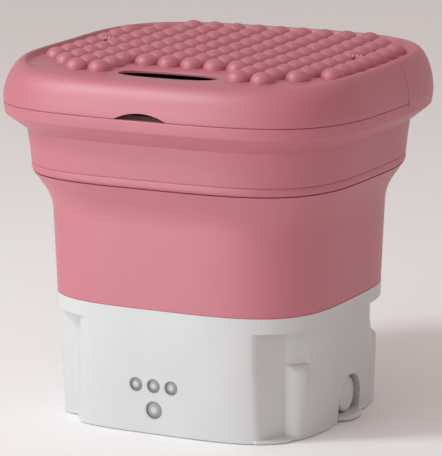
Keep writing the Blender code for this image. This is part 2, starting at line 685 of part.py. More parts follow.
def knuckle(target, label, middle_x, length, towards):
    """One hinge knuckle: a barrel on a short web that stands on the panel beside the split."""
    low_x, high_x = middle_x - length / 2.0, middle_x + length / 2.0
    axis_z = hinge_z()
    barrel = cylinder_mesh("barrel", KNUCKLE_RADIUS, (low_x, SPLIT_Y, axis_z), (high_x, SPLIT_Y, axis_z), 16)
    far_y = SPLIT_Y + towards * 0.0030
    near_y = SPLIT_Y + towards * 0.0007
    low = (low_x + 0.0002, min(far_y, near_y), axis_z - HINGE_RISE - 0.0010)
    high = (high_x - 0.0002, max(far_y, near_y), axis_z + 0.0004)
    web = add_object(f"{label}_web", box_mesh("web", low, high))
    combine(target, web, "UNION")
    combine(target, add_object(f"{label}_barrel", barrel), "UNION")


def hinge_bore(target, label, middle_x):
    start = (middle_x - 0.006, SPLIT_Y, hinge_z())
    end = (middle_x + 0.006, SPLIT_Y, hinge_z())
    bore = cylinder_mesh("bore", PIN_RADIUS + 0.0003, start, end, sides=12)
    combine(target, add_object(f"{label}_bore", bore), "DIFFERENCE")


def hinge_offsets():
    """Distance of each deck knuckle from the middle of its hinge."""
    return (FLAP_KNUCKLE_LENGTH + DECK_KNUCKLE_LENGTH) / 2.0 + 0.0004


def lid_flap():
    flap = cover_shell("lid_flap", FLAP_SLOPE, SEAM_Z, PINK_PLASTIC)
    low, high = (-0.2, SPLIT_Y - SPLIT_GAP, 0.2), (0.2, 0.2, 0.3)
    combine(flap, add_object("flap_end", box_mesh("flap_end", low, high)), "DIFFERENCE")
    combine(flap, bump_field("flap_bumps", True, FLAP_SLOPE), "UNION")
    slot_ring = [rounded_square(SLOT_HALF, z, 2.6) for z in (0.26, 0.30)]
    slot = add_object("lid_slot", loft("lid_slot", slot_ring, closed=False), None, (0.0, SLOT_CENTRE_Y, 0.0))
    combine(flap, slot, "DIFFERENCE")
    radius = (NOTCH_HALF_WIDTH ** 2 + NOTCH_HEIGHT ** 2) / (2.0 * NOTCH_HEIGHT)
    centre_z = SEAM_Z + NOTCH_HEIGHT - radius
    notch = cylinder_mesh("notch", radius, (0.0, -0.16, centre_z), (0.0, -0.12, centre_z), sides=96)
    combine(flap, add_object("finger_notch", notch), "DIFFERENCE")
    for side in (-1, 1):
        knuckle(flap, f"flap_knuckle_{side}", side * HINGE_X, FLAP_KNUCKLE_LENGTH, -1)
        hinge_bore(flap, f"flap_knuckle_{side}", side * HINGE_X)


def rim_frame():
    outer = [(inset(LID_HALF, 0.0002), RIM_TOP_Z), (inset(LID_HALF, 0.0012), RIM_LOW_Z),
             (RIM_CREASE_HALF, RIM_CREASE_Z), (inset(RIM_CREASE_HALF, 0.0018), RIM_CREASE_Z + 0.0021),
             (inset(LID_HALF, 0.0036), RIM_LOW_Z + 0.0016), (inset(LID_HALF, 0.0028), RIM_TOP_Z - WALL),
             (inset(LID_HALF, 0.0215), RIM_TOP_Z - WALL), (inset(LID_HALF, 0.0215), RIM_TOP_Z)]
    rings = [rounded_square(half, z) for half, z in outer]
    frame = add_object("rim_frame", loft("rim_frame", rings, closed=True), PINK_PLASTIC)
    deck = cover_shell("rear_deck", DECK_SLOPE, RIM_TOP_Z - 0.0012, None)
    low, high = (-0.2, -0.2, 0.2), (0.2, SPLIT_Y + SPLIT_GAP, 0.3)
    combine(deck, add_object("deck_end", box_mesh("deck_end", low, high)), "DIFFERENCE")
    combine(frame, deck, "UNION")
    combine(frame, bump_field("deck_bumps", False, DECK_SLOPE), "UNION")
    for side in (-1, 1):
        for part in (-1, 1):
            label = f"deck_knuckle_{side}_{part}"
            knuckle(frame, label, side * HINGE_X + part * hinge_offsets(), DECK_KNUCKLE_LENGTH, 1)
        hinge_bore(frame, f"deck_{side}", side * HINGE_X)


def hinge_pins():
    length = FLAP_KNUCKLE_LENGTH / 2.0 + DECK_KNUCKLE_LENGTH + 0.0010
    for label, side in (("left", -1), ("right", 1)):
        x = side * HINGE_X
        start, end = (x - length, SPLIT_Y, hinge_z()), (x + length, SPLIT_Y, hinge_z())
        add_object(f"hinge_pin_{label}", cylinder_mesh("hinge_pin", PIN_RADIUS, start, end, 12), METAL)


def main():
    clear_scene()
    base_housing()
    bottom_plate()
    buttons()
    control_board()
    power_inlet()
    tub_floor()
    pulsator()
    bearings()
    motor()
    drive_belt()
    drain_parts()
    folding_wall()
    upper_tier()
    rim_frame()
    lid_flap()
    hinge_pins()


main()
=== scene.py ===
"""Portable mini washer: the visual model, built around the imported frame. Metres, +Z up, front at -Y."""
import json
import math

import bmesh
import bpy
import numpy as np
from mathutils import Matrix, Vector
from mathutils.geometry import delaunay_2d_cdt

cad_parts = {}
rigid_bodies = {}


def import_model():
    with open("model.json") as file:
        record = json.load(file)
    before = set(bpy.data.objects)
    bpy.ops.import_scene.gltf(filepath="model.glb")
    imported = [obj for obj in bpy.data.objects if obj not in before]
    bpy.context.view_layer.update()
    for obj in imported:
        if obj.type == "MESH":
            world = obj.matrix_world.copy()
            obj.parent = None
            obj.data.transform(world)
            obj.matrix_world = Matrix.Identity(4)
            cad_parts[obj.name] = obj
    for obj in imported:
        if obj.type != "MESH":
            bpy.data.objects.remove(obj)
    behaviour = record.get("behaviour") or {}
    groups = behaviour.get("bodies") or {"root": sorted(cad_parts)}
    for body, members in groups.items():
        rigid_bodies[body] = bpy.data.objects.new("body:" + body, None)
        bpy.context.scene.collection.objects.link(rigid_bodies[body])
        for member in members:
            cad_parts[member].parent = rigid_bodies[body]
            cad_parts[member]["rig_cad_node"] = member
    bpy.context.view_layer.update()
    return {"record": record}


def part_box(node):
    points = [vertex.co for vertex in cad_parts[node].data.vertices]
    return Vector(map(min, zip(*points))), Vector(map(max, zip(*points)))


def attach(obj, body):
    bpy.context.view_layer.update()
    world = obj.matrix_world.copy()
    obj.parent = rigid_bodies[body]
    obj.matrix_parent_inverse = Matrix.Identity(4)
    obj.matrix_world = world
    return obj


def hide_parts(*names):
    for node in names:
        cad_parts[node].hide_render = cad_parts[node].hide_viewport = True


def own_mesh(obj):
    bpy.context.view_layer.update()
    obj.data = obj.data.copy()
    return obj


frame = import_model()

MM = 0.001


def joint_place(name):
    """Where a joint's axis passes, from the record."""
    for joint in frame["record"]["behaviour"]["joints"]:
        if joint["name"] == name:
            return Vector(joint["pos_m"])
    return Vector((0.0, 0.0, 0.0))


# ---- sizes taken from the frame ----
RIM_LOW, RIM_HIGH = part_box("rim_frame")
FLAP_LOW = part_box("lid_flap")[0]
COLLAR_LOW, COLLAR_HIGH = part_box("upper_collar")
BEAD_LOW, BEAD_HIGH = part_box("bead_ring")
WALL_LOW, WALL_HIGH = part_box("folding_wall")
BASE_LOW, BASE_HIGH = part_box("base_housing")
CAP_LOW, CAP_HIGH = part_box("drain_cap")
PIN_LOW, PIN_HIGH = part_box("hinge_pin_right")
HINGE = joint_place("flap_hinge")

# ---- sizes of every rounded-square tier ----
TIER_POWER = 3.6               # 2 is an ellipse, larger is squarer
BASE_POWER = 3.9
OUTLINE_SLACK = 0.2 * MM       # the CAD outline's corners lie this far inside the smooth outline
SHELL = 2.5 * MM

# ---- sizes of the lid ----
LID_HALF = np.array((RIM_HIGH.x + OUTLINE_SLACK, -RIM_LOW.y + OUTLINE_SLACK))
SEAM_Z = FLAP_LOW.z
SEAM_GAP = 0.2 * MM
SPLIT_GAP = 0.5 * MM
SPLIT_Y = HINGE.y - SPLIT_GAP / 2.0      # the flap ends here
DECK_Y = SPLIT_Y + SPLIT_GAP             # the fixed rear half starts here
CREASE_RISE = 28.9 * MM
RECESS = 1.0 * MM
SHOULDER_INSET = np.array((12.5, 18.0)) * MM
SHOULDER_STEPS = 16
RIDGE_RISE = 3.5 * MM          # the crease stands higher beside and behind the bumps
RIDGE_START_Y = -115.0 * MM
RIDGE_RUN = 60.0 * MM
FLAP_SLOPE = 0.0113
DECK_SLOPE = 0.0350
PANEL_EDGE = ((0.5, -0.06, 0.99), (1.0, -0.26, 0.92), (1.5, -0.55, 0.75), (2.1, -0.80, 0.45),
              (2.8, -0.95, 0.16), (3.6, -1.0, 0.0))      # inset mm, drop mm, share of the ridge
BUMP_PITCH = 19.5 * MM
BUMP_RADIUS = 9.25 * MM
BUMP_HEIGHT = 7.8 * MM
BUMP_SIDES = 26
BUMP_LEVELS = 7
FRONT_FIELD = (0.121, 0.108, 3)          # half sizes and squareness of the area with bumps
REAR_FIELD = (0.121, 0.112, 6)
FIRST_BUMP_Y = -0.100
SLOT_Y = -88.0 * MM
SLOT_HALF = (41.0 * MM, 14.0 * MM)
SLOT_CLEAR = (0.012, 0.0105)             # no bump stands nearer to the slot than this
SLOT_LIP = ((0.7, 0.0), (0.25, -0.12), (0.0, -0.5), (0.0, -2.0), (0.5, -SHELL / MM))      # grow mm, drop mm
FINGER_NOTCH_X = 3.0 * MM
FINGER_NOTCH_HALF = 22.0 * MM
FINGER_NOTCH_RISE = 5.5 * MM
HINGE_X = (PIN_LOW.x + PIN_HIGH.x) / 2.0
KNUCKLE_RADIUS = 2.6 * MM
KNUCKLE_EDGE = 0.3 * MM
FLAP_KNUCKLE = 3.0 * MM        # lengths along the hinge
DECK_KNUCKLE = 2.4 * MM
KNUCKLE_STEP = 3.1 * MM        # from the flap's knuckle to the deck's knuckle on either side
WEB_NEAR, WEB_FAR = 0.7 * MM, 3.0 * MM
WEB_HEIGHT = 4.4 * MM
WEB_DROP = 1.8 * MM
CREASE_HALF = np.array((COLLAR_HIGH.x, COLLAR_HIGH.y)) + OUTLINE_SLACK
RIM_UNDER_Z = COLLAR_HIGH.z + 0.4 * MM
BAND_LOW_Z = SEAM_Z - 9.1 * MM
LEDGE_WIDTH = 21.5 * MM        # the rim's flat top under the flap
LEDGE_THICK = 2.7 * MM

# ---- sizes of the folding wall ----
SOFT_WALL = 2.2 * MM
WALL_BOTTOM_HALF = np.array((114.2, 106.4)) * MM
WALL_KNEE_HALF = np.array((117.0, 108.8)) * MM
WALL_KNEE_RISE = 74.5 * MM
WALL_KNEE_RADIUS = 11.0 * MM

# ---- sizes of the base; the plan points are millimetres in the +x, +y quarter ----
BASE_BOTTOM_HALF = np.array((107.6, 103.5)) * MM
BASE_TOP_HALF = np.array((BASE_HIGH.x, BASE_HIGH.y))
NOTCH_TOP_Z = 85.5 * MM
RIB_TOP_Z = 58.0 * MM
RIB_TOP_ROUND = 6.0 * MM
LIP_Z = 2.2 * MM
NOTCH_EDGE = 2.0 * MM          # rounding of the notches' outer edges
FAR = 200.0 * MM
NO_LIP = 150.0 * MM
BASE_SIDES = 640
RIGHT_NOTCH = ((75.5, 100.0), (77.5, 97.0), (90.5, 72.5), (92.0, 72.0))
LEFT_NOTCH = ((60.0, 104.7), (65.0, 102.8), (70.0, 99.0), (74.0, 94.0), (84.0, 80.0), (86.5, 79.2),
              (92.0, 79.0), (96.5, 76.5), (100.0, 73.0))
RIGHT_BLEND = ((93.5, 70.0), (97.0, 66.0), (101.0, 60.0), (104.5, 53.5), (107.5, 46.5), (110.4, 38.0),
               (113.6, 28.0))
LIP = ((79.0, 99.5), (84.0, 99.5), (88.0, 97.5), (91.7, 95.0), (94.8, 91.0), (97.2, 86.0), (97.5, 80.0),
       (98.8, 73.0), (101.5, 68.0), (105.0, 59.5), (107.5, 41.0), (110.0, 27.0))
OUTER_LEVELS = (8, 15, 25, 35, 45, 50, 52, 53.5, 54.8, 55.8, 56.6, 57.2, 57.6, 57.9, 58.0,
                62, 70, 78, 84.6, 85.0, 85.3, 85.6, 85.9, 88, 93)
INNER_LEVELS = (6, 15, 25, 35, 45, 48, 50, 52, 53, 54, 55, 56, 60, 65, 72, 80, 82, 82.6, 83.2, 88, 89, 92)
ARCH_Y = (CAP_LOW.y + CAP_HIGH.y) / 2.0
ARCH_HALF = 20.0 * MM
ARCH_TOP_Z = 35.5 * MM
ARCH_BACK_X = 88.0 * MM
SILL_STEPS = ((1.6, 0.0), (0.4, 0.5), (0.0, 1.4), (0.4, 3.0), (1.4, 3.9), (3.0, 4.2))   # inset, height mm
SILL_REACH = 27.5 * MM
SILL_HALF = 21.5 * MM
SILL_SHIFT_Y = 2.0 * MM
SILL_ROUND = 0.8
DRAIN_Z = (CAP_LOW.z + CAP_HIGH.z) / 2.0
INLET_RADIUS = 4.4 * MM

# ---- lights and camera ----
WORLD_COLOUR = (1.0, 0.88, 0.85, 1.0)
WORLD_STRENGTH = 0.56
SOFT_BOX_COLOUR = (1.0, 1.10, 1.12)
KEY_RADIANCE = 42.0
HAZE_RADIANCE = 3.1
SUN_STRENGTH = 0.1
LIGHT_AIM = Vector((0.0, 0.0, 0.14))
CAMERA_AZIMUTH = 26.43
CAMERA_ELEVATION = 11.85
CAMERA_DISTANCE = 2.398
CAMERA_AIM_Z = 0.110
CAMERA_SIDE = 0.4 * MM
CAMERA_LIFT = 30.9 * MM
FOCAL_SHARE = 3062.0 / 456.0
SENSOR = 36.0


# ---- materials ----
GLOSS_SPREAD = 0.05


def node(tree, kind, **values):
    """A new shader node; each value sets an input of that name, or else a property."""
    made = tree.nodes.new(kind)
    for name, value in values.items():
        if name in made.inputs:
            made.inputs[name].default_value = value
        else:
            setattr(made, name, value)
    return made


def plastic(name, colour, roughness, grain, mottle=0.04, coat=0.6, metallic=0.0):
    """Moulded plastic: a fine sparked grain, faint clouding of the colour and uneven gloss."""
    made = bpy.data.materials.new(name)
    made.use_nodes = True
    tree = made.node_tree
    shader = tree.nodes["Principled BSDF"]
    place = tree.nodes.new("ShaderNodeTexCoord")
    cloud = node(tree, "ShaderNodeTexNoise", Scale=18.0, Detail=4.0, Roughness=0.55)
    fine = node(tree, "ShaderNodeTexNoise", Scale=1400.0, Detail=2.0, Roughness=0.5)
    tree.links.new(place.outputs["Object"], cloud.inputs["Vector"])
    tree.links.new(place.outputs["Object"], fine.inputs["Vector"])
    ramp = tree.nodes.new("ShaderNodeValToRGB")
    for stop, share in zip(ramp.color_ramp.elements, (1.0 - mottle, 1.0)):
        stop.color = (*[value * share for value in colour], 1.0)
    ramp.color_ramp.elements[0].position = 0.35
    ramp.color_ramp.elements[1].position = 0.65
    tree.links.new(cloud.outputs["Fac"], ramp.inputs["Fac"])
    tree.links.new(ramp.outputs["Color"], shader.inputs["Base Color"])
    gloss = node(tree, "ShaderNodeMapRange")
    gloss.inputs["To Min"].default_value = roughness - GLOSS_SPREAD
    gloss.inputs["To Max"].default_value = roughness + GLOSS_SPREAD
    tree.links.new(cloud.outputs["Fac"], gloss.inputs["Value"])
    tree.links.new(gloss.outputs["Result"], shader.inputs["Roughness"])
    bump = node(tree, "ShaderNodeBump", Strength=grain, Distance=0.05 * MM)
    tree.links.new(fine.outputs["Fac"], bump.inputs["Height"])
    tree.links.new(bump.outputs["Normal"], shader.inputs["Normal"])
    shader.inputs["Metallic"].default_value = metallic
    shader.inputs["Coat Weight"].default_value = 0.0 if metallic else coat
    shader.inputs["Specular IOR Level"].default_value = 0.5 if metallic else 1.0
    shader.inputs["Coat Roughness"].default_value = 0.55
    return made


FINISHES = {
    "pink_plastic": plastic("pink_plastic_moulded", (0.49, 0.118, 0.158), 0.52, 0.25, coat=0.45),
    "soft_pink": plastic("soft_pink_moulded", (0.51, 0.125, 0.166), 0.50, 0.35, coat=0.5),
    "white_plastic": plastic("white_plastic_moulded", (0.60, 0.60, 0.60), 0.45, 0.20, coat=0.0),
    "grey_plastic": plastic("grey_plastic_moulded", (0.22, 0.22, 0.22), 0.45, 0.25),
    "black_plastic": plastic("black_plastic_moulded", (0.018, 0.018, 0.019), 0.45, 0.30),
    "black_rubber": plastic("black_rubber_moulded", (0.022, 0.022, 0.022), 0.75, 0.45),
    "steel": plastic("steel_turned", (0.55, 0.56, 0.58), 0.30, 0.15, metallic=1.0),
    "circuit_board": plastic("circuit_board_green", (0.03, 0.16, 0.07), 0.40, 0.20, mottle=0.3),
}


# ---- mesh helpers ----
SHARP_ANGLE = 32.0
TO_X = Matrix.Rotation(math.pi / 2, 4, "Y")        # these turn a lathed solid's axis from Z
TO_FRONT = Matrix.Rotation(math.pi / 2, 4, "X")


def rounded_outline(power, count, ratio):
    """Evenly spaced points of a unit rounded square; ratio is depth over width."""
    angle = np.linspace(0.0, 2.0 * math.pi, 20001)
    x = np.sign(np.cos(angle)) * np.abs(np.cos(angle)) ** (2.0 / power)
    y = np.sign(np.sin(angle)) * np.abs(np.sin(angle)) ** (2.0 / power)
    length = np.concatenate(([0.0], np.cumsum(np.hypot(np.diff(x), ratio * np.diff(y)))))
    wanted = np.linspace(0.0, length[-1], count, endpoint=False)
    return np.stack((np.interp(wanted, length, x), np.interp(wanted, length, y)), axis=1)


TIER_OUTLINE = rounded_outline(TIER_POWER, 240, 0.93)


def soften(corners, steps=4):
    """Round a profile: corners are (half x, half y, z, lift, radius); ends stay where they are."""
    made = []
    last = len(corners) - 1
    for index, corner in enumerate(corners):
        here, radius = np.array(corner[:4]), corner[4]
        if index in (0, last) or radius == 0.0:
            made.append(here)
            continue
        before = np.array(corners[index - 1][:4]) - here
        after = np.array(corners[index + 1][:4]) - here
        start = here + before * min(0.5, radius / np.linalg.norm(before[[0, 2]]))
        end = here + after * min(0.5, radius / np.linalg.norm(after[[0, 2]]))
        for step in range(steps + 1):
            part = step / steps
            made.append((1 - part) ** 2 * start + 2 * part * (1 - part) * here + part ** 2 * end)
    return made


def level(inset, z, lift=0.0, radius=0.0, half=LID_HALF):
    """One corner of a profile, at an inset from a tier's half sizes."""
    return (half[0] - inset, half[1] - inset, z, lift, radius)


def ring_points(row, slope=0.0, outline=TIER_OUTLINE):
    """One ring of a row (half x, half y, z, share of the slope and, on a lid, share of the ridge)."""
    points = outline * row[:2]
    z = row[2] + slope * (points[:, 1] - SPLIT_Y) * row[3]
    if len(row) > 4:
        z = z + row[4] * RIDGE_RISE * ease((points[:, 1] - RIDGE_START_Y) / RIDGE_RUN)
    return [Vector((x, y, height)) for (x, y), height in zip(points, z)]


def band(mesh, low, high):
    """Quads between two rows of vertices, all the way round."""
    for index in range(len(low)):
        following = (index + 1) % len(low)
        mesh.faces.new((low[index], low[following], high[following], high[index]))


def skin(mesh, rings, closed=False, caps=False):
    """Quads between rings of points, closed end to end or capped."""
    rows = [[mesh.verts.new(point) for point in ring] for ring in rings]
    pairs = list(zip(rows, rows[1:])) + ([(rows[-1], rows[0])] if closed else [])
    for low, high in pairs:
        band(mesh, low, high)
    if caps:
        mesh.faces.new(rows[0])
        mesh.faces.new(rows[-1])


def cut_at(mesh, y, keep_front):
    """Cut a closed mesh at a plane across Y and close the cut."""
    geometry = mesh.verts[:] + mesh.edges[:] + mesh.faces[:]
    cut = bmesh.ops.bisect_plane(mesh, geom=geometry, dist=0.001 * MM, plane_co=(0.0, y, 0.0),
                                 plane_no=(0.0, 1.0, 0.0), clear_outer=keep_front, clear_inner=not keep_front)
    edges = [item for item in cut["geom_cut"] if isinstance(item, bmesh.types.BMEdge)]
    bmesh.ops.triangle_fill(mesh, use_beauty=True, edges=edges, normal=(0.0, 1.0, 0.0))


def pierce(mesh, face, holes):
    """Retile a flat face round holes, whose vertices are already in the mesh."""
    border = [loop.vert for loop in face.loops]
    mesh.faces.remove(face)
    verts, edges, owner = list(border), [], [-1] * len(border)
    edges += [(index, (index + 1) % len(border)) for index in range(len(border))]
    for number, hole in enumerate(holes):
        start, count = len(verts), len(hole)
        verts += hole
        owner += [number] * count
        edges += [(start + index, start + (index + 1) % count) for index in range(count)]
    points = [Vector((vert.co.x, vert.co.y)) for vert in verts]
    tiled = delaunay_2d_cdt(points, edges, [], 1, 1e-7)
    origin = [source[0] if source else None for source in tiled[3]]
    for corners in tiled[2]:
        used = [origin[corner] for corner in corners]
        if None in used or len(set(used)) < 3:
            continue
        owners = {owner[index] for index in used}
        if len(owners) == 1 and -1 not in owners:
            continue
        mesh.faces.new([verts[index] for index in used])


def flat_faces(mesh):
    """The outer and inner panel of a cover: its two largest flat faces."""
    large = sorted(mesh.faces, key=lambda face: -face.calc_area())[:2]
    return sorted(large, key=lambda face: -face.calc_center_median().z)


def link_new(name, data):
    """A new object in the scene, for a mesh, a lamp or a camera."""
    made = bpy.data.objects.new(name, data)
    bpy.context.scene.collection.objects.link(made)
    return made


def loose_object(name, mesh):
    """An object made from a mesh, with its faces turned outwards; the mesh is freed."""
    bmesh.ops.recalc_face_normals(mesh, faces=mesh.faces)
    data = bpy.data.meshes.new(name)
    mesh.to_mesh(data)
    mesh.free()
    return link_new(name, data)


def dress(piece, slot, body, replaced, finish=None):
    """Give a piece its finish, taken from its slot unless one is given, its sharp edges, its body and the CAD
    nodes that it replaces.
    """
    data = piece.data
    data.materials.clear()
    data.materials.append(finish or FINISHES[slot])
    data.shade_smooth()
    data.set_sharp_from_angle(angle=math.radians(SHARP_ANGLE))
    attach(piece, body)
    if replaced:
        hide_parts(*replaced)


def add_piece(name, mesh, slot, body, replaced=(), finish=None):
    piece = loose_object(name, mesh)
    dress(piece, slot, body, replaced, finish)
    return piece


def cut_away(target, mesh):
    """Cut a mesh out of an object with an exact boolean, and apply it."""
    tool = loose_object("tool", mesh)
    step = target.modifiers.new("cut", "BOOLEAN")
    step.operation = "DIFFERENCE"
    step.solver = "EXACT"
    step.object = tool
    view = bpy.context.evaluated_depsgraph_get()
    result = bpy.data.meshes.new_from_object(target.evaluated_get(view))
    target.modifiers.remove(step)
    target.data = result
    bpy.data.objects.remove(tool, do_unlink=True)


def turned(profile, place, turn, sides=48, mesh=None):
    """A lathed solid: profile points (radius, height) run from one axis point to another, or in a loop."""
    mesh = mesh or bmesh.new()
    rows = []
    for radius, height in profile:
        if radius == 0.0:
            rows.append([mesh.verts.new((0.0, 0.0, height))])
            continue
        angles = [2.0 * math.pi * index / sides for index in range(sides)]
        rows.append([mesh.verts.new((radius * math.cos(a), radius * math.sin(a), height)) for a in angles])
    pairs = list(zip(rows, rows[1:]))
    if profile[0][0] > 0.0:
        pairs.append((rows[-1], rows[0]))
    for low, high in pairs:
        for index in range(sides):
            following = (index + 1) % sides
            corners = [low[index % len(low)], low[following % len(low)],
                       high[following % len(high)], high[index % len(high)]]
            mesh.faces.new(list(dict.fromkeys(corners)))
    new = [vert for row in rows for vert in row]
    bmesh.ops.transform(mesh, matrix=Matrix.Translation(place) @ turn, verts=new)
    return mesh


def disc(radius, reach):
    """Profile of a plain cylinder with flat ends, as long either way as its reach."""
    return [(0.0, -reach), (radius, -reach), (radius, reach), (0.0, reach)]


def prism_along_x(outline, low, high):
    """A closed prism whose outline is drawn in y and z."""
    mesh = bmesh.new()
    skin(mesh, [[Vector((x, y, z)) for y, z in outline] for x in (low, high)], caps=True)
    return mesh


def merge(mesh, part):
    """Add one closed mesh to another, with its faces turned outwards."""
    data = bpy.data.meshes.new("part")
    bmesh.ops.recalc_face_normals(part, faces=part.faces)
    part.to_mesh(data)
    part.free()
    mesh.from_mesh(data)
    bpy.data.meshes.remove(data)


# ---- lid covers ----
def shoulder(low_z, offset):
    """Rows of the rounded shoulder, from the level of the seam up to the crease."""
    rows = []
    for index in range(SHOULDER_STEPS + 1):
        angle = math.pi / 2 * index / SHOULDER_STEPS
        half = LID_HALF - SHOULDER_INSET * (1.0 - math.cos(angle)) - offset
        z = low_z + (CREASE_RISE - offset) * math.sin(angle)
        rows.append(np.array((*half, z, math.sin(angle), math.sin(angle) ** 3)))
    return rows


def flat_shoulder(offset):
    """Rows of a cover's inner skin, which stays under the recessed panel."""
    return [row[:4] for row in shoulder(SEAM_Z - RECESS, offset)[1:]]


def panel_edge(crease_z):
    """Rows that step down from the crease to the recessed panel."""
    half = LID_HALF - SHOULDER_INSET
    return [np.array((*(half - inset * MM), crease_z + drop * MM, 1.0, ridge))
            for inset, drop, ridge in PANEL_EDGE]


def ease(value):
    """0 below 0, 1 above 1, with a smooth rise between."""
    value = np.clip(value, 0.0, 1.0)
    return value * value * (3.0 - 2.0 * value)


def panel_z(y, slope):
    """Height of the recessed panel, which tilts from the split."""
    return SEAM_Z + CREASE_RISE - RECESS + slope * (y - SPLIT_Y)


def has_bump(x, y):
    """The bumps fill the recessed panel except round the slot and along the front strip."""
    half_x, half_y, power = FRONT_FIELD if y < 0.0 else REAR_FIELD
    inside = abs(x / half_x) ** power + abs(y / half_y) ** power <= 1.0 and y > FIRST_BUMP_Y
    by_slot = abs(x) < SLOT_HALF[0] + SLOT_CLEAR[0] and abs(y - SLOT_Y) < SLOT_HALF[1] + SLOT_CLEAR[1]
    return inside and not by_slot


def bump_places(front):
    """Middles of the bumps on the flap, or on the rear half."""
    places = []
    for column in range(-6, 7):
        for row in range(-6, 6):
            x, y = column * BUMP_PITCH, (row + 0.5) * BUMP_PITCH
            if (y < SPLIT_Y) == front and has_bump(x, y):
                places.append((x, y))
    return places


def dome(mesh, x, y, slope):
    """A round bump standing on the tilted panel; returns the loop of its foot."""
    rows = []
    for step in range(BUMP_LEVELS):
        angle = math.pi / 2 * step / BUMP_LEVELS
        radius, height = BUMP_RADIUS * math.cos(angle) ** 0.92, BUMP_HEIGHT * math.sin(angle)
        row = []
        for index in range(BUMP_SIDES):
            turn = 2.0 * math.pi * index / BUMP_SIDES
            px, py = x + radius * math.cos(turn), y + radius * math.sin(turn)
            row.append(mesh.verts.new((px, py, panel_z(py, slope) + height)))
        rows.append(row)
    tip = mesh.verts.new((x, y, panel_z(y, slope) + BUMP_HEIGHT))
    for low, high in zip(rows, rows[1:]):
        band(mesh, low, high)
    for index in range(BUMP_SIDES):
        mesh.faces.new((rows[-1][index], rows[-1][(index + 1) % BUMP_SIDES], tip))
    return rows[0]


def slot_walls(mesh, slope):
    """The slot through the panel with softened lips; returns its loops on the outer and inner face."""
    shape = rounded_outline(2.6, 64, SLOT_HALF[1] / SLOT_HALF[0])
    rows = []
    for grow, drop in SLOT_LIP:
        points = shape * (np.array(SLOT_HALF) + grow * MM) + np.array((0.0, SLOT_Y))
        rows.append([mesh.verts.new((x, y, panel_z(y, slope) + drop * MM)) for x, y in points])
    for low, high in zip(rows, rows[1:]):
        band(mesh, low, high)
    return rows[0], rows[-1]


def knuckle(mesh, middle_x, length, towards):
    """One hinge knuckle on a short web; towards is -1 for the flap's side and 1 for the rear half's."""
    flat, half = KNUCKLE_RADIUS - KNUCKLE_EDGE, length / 2.0
    profile = [(0.0, -half), (flat, -half), (KNUCKLE_RADIUS, -half + KNUCKLE_EDGE),
               (KNUCKLE_RADIUS, half - KNUCKLE_EDGE), (flat, half), (0.0, half)]
    turned(profile, (middle_x, HINGE.y, HINGE.z), TO_X, 24, mesh)
    far, near = HINGE.y + towards * WEB_FAR, HINGE.y + towards * WEB_NEAR
    size = (length - 0.4 * MM, abs(far - near), WEB_HEIGHT)
    middle = (middle_x, (far + near) / 2.0, HINGE.z - WEB_DROP)
    bmesh.ops.create_cube(mesh, size=1.0, matrix=Matrix.Translation(middle) @ Matrix.Diagonal((*size, 1.0)))


def flap_mesh():
    """The flap's closed shell, with its bumps and its slot."""
    crease_z = SEAM_Z + CREASE_RISE
    outer = soften([level(1.6 * MM, SEAM_Z), level(0.3 * MM, SEAM_Z, 0.0, 1.2 * MM),
                    level(0.25 * MM, SEAM_Z + 3.0 * MM)])[:-1]
    outer += shoulder(SEAM_Z, 0.0)[2:] + panel_edge(crease_z)
    inner = [np.array(level(SHELL, SEAM_Z)[:4])] + flat_shoulder(SHELL)
    mesh = bmesh.new()
    rows = list(reversed(outer)) + inner
    skin(mesh, [ring_points(row, FLAP_SLOPE) for row in rows], caps=True)
    cut_at(mesh, SPLIT_Y, True)
    top, bottom = flat_faces(mesh)
    upper, lower = slot_walls(mesh, FLAP_SLOPE)
    holes = [dome(mesh, x, y, FLAP_SLOPE) for x, y in bump_places(True)]
    pierce(mesh, top, holes + [upper])
    pierce(mesh, bottom, [lower])
    return mesh


def lid_flap():
    piece = loose_object("flap_cover", flap_mesh())
    radius = (FINGER_NOTCH_HALF ** 2 + FINGER_NOTCH_RISE ** 2) / (2.0 * FINGER_NOTCH_RISE)
    middle = (FINGER_NOTCH_X, -LID_HALF[1], SEAM_Z + FINGER_NOTCH_RISE - radius)
    cut_away(piece, turned(disc(radius, 20 * MM), middle, TO_FRONT, 256))
    hinges = bmesh.new()
    hinges.from_mesh(piece.data)
    for side in (-1, 1):
        knuckle(hinges, side * HINGE_X, FLAP_KNUCKLE, -1)
    hinges.to_mesh(piece.data)
    hinges.free()
    dress(piece, "pink_plastic", "front_flap", ("lid_flap",))


def band_outside(top_rows):
    """The rim from its underside crease round the band's lower edge; top_rows finish it."""
    corners = [level(0.0, RIM_UNDER_Z, half=CREASE_HALF), level(1.2 * MM, BAND_LOW_Z, 0.0, 1.0 * MM)]
    return soften(corners + top_rows)


def band_inside():
    """The two inner corners of the band, from its lower edge down to the underside crease."""
    return [level(3.6 * MM, BAND_LOW_Z + 1.6 * MM), level(1.8 * MM, RIM_UNDER_Z + 2.1 * MM, half=CREASE_HALF)]


def front_rim(mesh):
    """The band below the flap, with the flat ledge that the flap closes on."""
    top_z = SEAM_Z - SEAM_GAP
    low_z = top_z - LEDGE_THICK
    outside = band_outside([level(0.2 * MM, top_z, 0.0, 1.1 * MM), level(2.0 * MM, top_z)])
    inside = [level(LEDGE_WIDTH, top_z), level(LEDGE_WIDTH, low_z), level(2.8 * MM, low_z)] + band_inside()
    rows = outside + [np.array(corner[:4]) for corner in inside]
    part = bmesh.new()
    skin(part, [ring_points(row) for row in rows], closed=True)
    cut_at(part, DECK_Y, True)
    merge(mesh, part)


